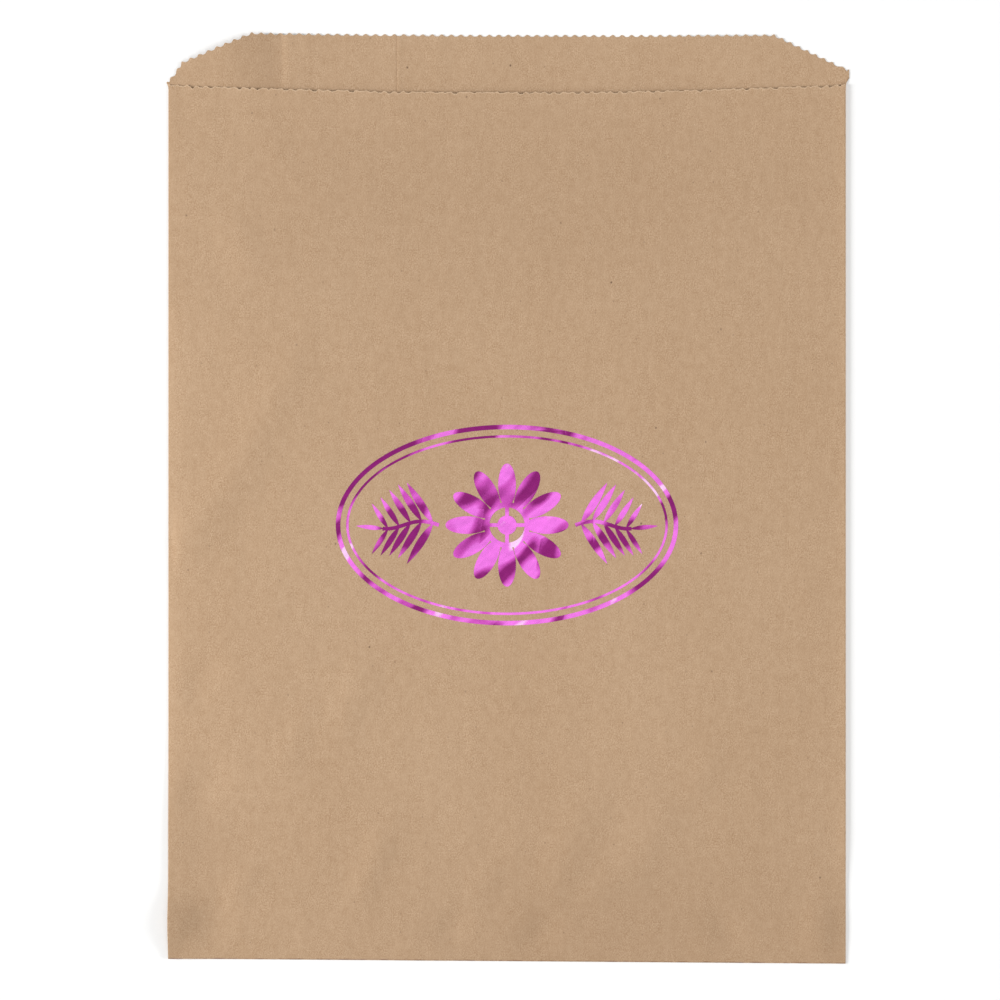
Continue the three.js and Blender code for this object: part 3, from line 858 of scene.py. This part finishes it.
# Petals round a ring, with a bud held in its middle by four short spokes
def flowerShapes():
    ring = band(foil["eyeOuter"], foil["eyeOuter"], foil["eyeOuter"] - foil["eyeInner"], 60)
    reach = (foil["eyeOuter"] + foil["eyeInner"]) / 2
    shapes = [(4, ring), (5, ellipseBlade((0, 0), foil["budRadius"], foil["budRadius"], 0.0))]
    for layer, end in ((2, np.array([reach, 0])), (3, np.array([0, reach]))):
        line = np.linspace(-1, 1, 12)[:, None] * end
        shapes.append((layer, blade(line, np.full(12, foil["stemWidth"] / 2))))
    for petal in range(foil["petals"]):
        turn = petal / foil["petals"] * 2 * np.pi
        middle = foil["petalRadius"] * np.array([np.cos(turn), np.sin(turn)])
        leaf = ellipseBlade(middle, foil["petalLength"] / 2, foil["petalWidth"] / 2, turn)
        shapes.append((petal % 2, leaf))
    return shapes


foilLook = {
    # tones of painted reflection, from bright to dark, and a near-white painted glint
    "bright": (0.87, 0.19, 0.79, 1),
    "middle": (0.62, 0.085, 0.50, 1),
    "dark": (0.26, 0.014, 0.17, 1),
    "paintedGlint": (1.0, 0.62, 0.95, 1),
    "toMiddle": (0.36, 0.47),      # tones between which one colour goes over into the next
    "toBright": (0.45, 0.54),
    "toPaintedGlint": (0.70, 0.76),
    "patch": 17.0,                 # size of a patch of tone, millimetres
    "slant": 38.0,                 # direction the patches run in, degrees
    "facet": 0.06,                 # how much the tone jumps where two patches meet in a hard line
    "mottle": 0.025,               # how much the tone follows the paper's fine grain
    "buckle": 0.18,                # height of the soft waves under the foil, millimetres
    "bump": 0.012,
    "roughness": (0.16, 0.41),
    "metallic": 0.85,
}


# Stamped foil: its pink is its own, and the reflection it shows is painted into the colour: broad
# slanting fields from pink to dark magenta, mostly in soft gradations and here and there with a hard line
# between two of them, finely mottled by the paper under it, and near-white painted glints
def foilMaterial():
    material, tree, shader = newMaterial("pinkFoil")
    place = addNode(tree, "ShaderNodeTexCoord").outputs["Object"]
    size, slant = foilLook["patch"], foilLook["slant"]
    patch = grain(tree, place, size * 0.6, size * 1.4, 1.0, 4.0, slant)
    facets = grain(tree, place, size * 0.8, size * 1.9, seed=6.0, turn=slant, kind="ShaderNodeTexVoronoi")
    facet = addNode(tree, "ShaderNodeSeparateColor", {0: facets.outputs["Color"]}).outputs[0]
    mottle = grain(tree, place, 0.6, 0.8, 3.0, 9.0)
    tone = patch
    for noise, name in ((mottle, "mottle"), (facet, "facet")):
        tone = calculate(tree, "ADD", tone, spread(tree, noise, -foilLook[name], foilLook[name]))
    colour = foilLook["dark"]
    for step, name in (("toMiddle", "middle"), ("toBright", "bright"), ("toPaintedGlint", "paintedGlint")):
        colour = mixColour(tree, fadeBetween(tree, tone, *foilLook[step]), colour, foilLook[name])
    soft = grain(tree, place, 4.0, 6.0, 1.0, 17.0, slant)
    height = calculate(tree, "MULTIPLY", soft, foilLook["buckle"] * mm)
    height = calculate(tree, "MULTIPLY_ADD", mottle, foilLook["bump"] * mm, height)
    linkShader(tree, shader, colour, spread(tree, mottle, *foilLook["roughness"]), height)
    shader.inputs["Metallic"].default_value = foilLook["metallic"]
    return material


paperBag(kraftMaterial())
print("paper bag made")

pinkFoil = foilMaterial()
for name, node, stroke in (("foilOvalOuter", "foil_oval_outer", "ovalStroke"),
                           ("foilOvalInner", "foil_oval_inner", "innerOvalStroke")):
    ovalLow, ovalHigh = (np.array(corner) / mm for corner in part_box(node))
    halfLong, halfHigh = (ovalHigh - ovalLow)[:2] / 2
    foilPiece(name, node, [(0, band(halfLong, halfHigh, foil[stroke]))], pinkFoil)
foilPiece("foilFlower", "foil_flower", flowerShapes(), pinkFoil)
foilPiece("foilSprigLeft", "foil_sprig_left", sprigShapes(-1), pinkFoil)
foilPiece("foilSprigRight", "foil_sprig_right", sprigShapes(1), pinkFoil)
print("foil ornament made")

studio = {
    "floorSize": 12.0,                 # metres
    "floorColour": (0.93, 0.93, 0.925, 1),
    "world": 0.40,
    "leftLamp": ((-2.9, 0.0, 1.3), 89.0),   # place in metres, watts: the stronger one
    "rightLamp": ((2.9, 0.0, 1.3), 38.0),
    "lampSize": 1.0,
    "topLight": ((0.0, 0.0, 2.0), 0.3),        # direction it comes from, strength
    "frontLight": ((0.0, -1.0, 1.73), 0.42),
    "softness": 60.0,                          # angle that each of these two fills, degrees
    "photoWidth": 0.3752,              # metres across the picture, at the table
    "aim": (-2.63, 172.97),            # the picture's middle, millimetres from the bottom fold's
    "lens": 100.0,
    "sensor": 36.0,
}


# A light that shines from its place towards the origin and isn't seen itself
def addLight(name, kind, energy, place, **settings):
    data = bpy.data.lights.new(name, kind)
    data.energy = energy
    for key, value in settings.items():
        setattr(data, key, value)
    light = bpy.data.objects.new(name, data)
    light.location = place
    light.rotation_euler = Vector(place).to_track_quat("Z", "Y").to_euler()
    light.visible_camera = False
    bpy.context.scene.collection.objects.link(light)


# A pale floor, four lights and a camera straight above
def makeStudio():
    scene = bpy.context.scene
    half = studio["floorSize"] / 2
    mesh = bpy.data.meshes.new("floor")
    below = -0.01 * mm   # clear of the bag's own lowest face
    corners = [(x * half, y * half, below) for x, y in ((-1, -1), (1, -1), (1, 1), (-1, 1))]
    mesh.from_pydata(corners, [], [(0, 1, 2, 3)])
    floor = bpy.data.objects.new("floor", mesh)
    scene.collection.objects.link(floor)
    material, _, shader = newMaterial("paleFloor")
    shader.inputs["Base Color"].default_value = studio["floorColour"]
    shader.inputs["Roughness"].default_value = 0.9
    mesh.materials.append(material)

    world = bpy.data.worlds.new("studio")
    world.use_nodes = True
    background = world.node_tree.nodes["Background"]
    background.inputs["Color"].default_value = (1, 1, 1, 1)
    background.inputs["Strength"].default_value = studio["world"]
    scene.world = world
    for name in ("leftLamp", "rightLamp"):
        place, watts = studio[name]
        addLight(name, "AREA", watts, place, shape="SQUARE", size=studio["lampSize"])
    for name in ("topLight", "frontLight"):
        place, strength = studio[name]
        addLight(name, "SUN", strength, place, angle=np.radians(studio["softness"]))
    scene.view_settings.view_transform = "Standard"

    data = bpy.data.cameras.new("camera")
    data.lens = studio["lens"]
    data.sensor_width = studio["sensor"]
    camera = bpy.data.objects.new("camera", data)
    aimX, aimY = studio["aim"]
    height = studio["photoWidth"] * studio["lens"] / studio["sensor"]
    camera.location = ((middleX + aimX) * mm, (bottomY + aimY) * mm, height)
    scene.collection.objects.link(camera)
    scene.camera = camera


makeStudio()
print("studio made")
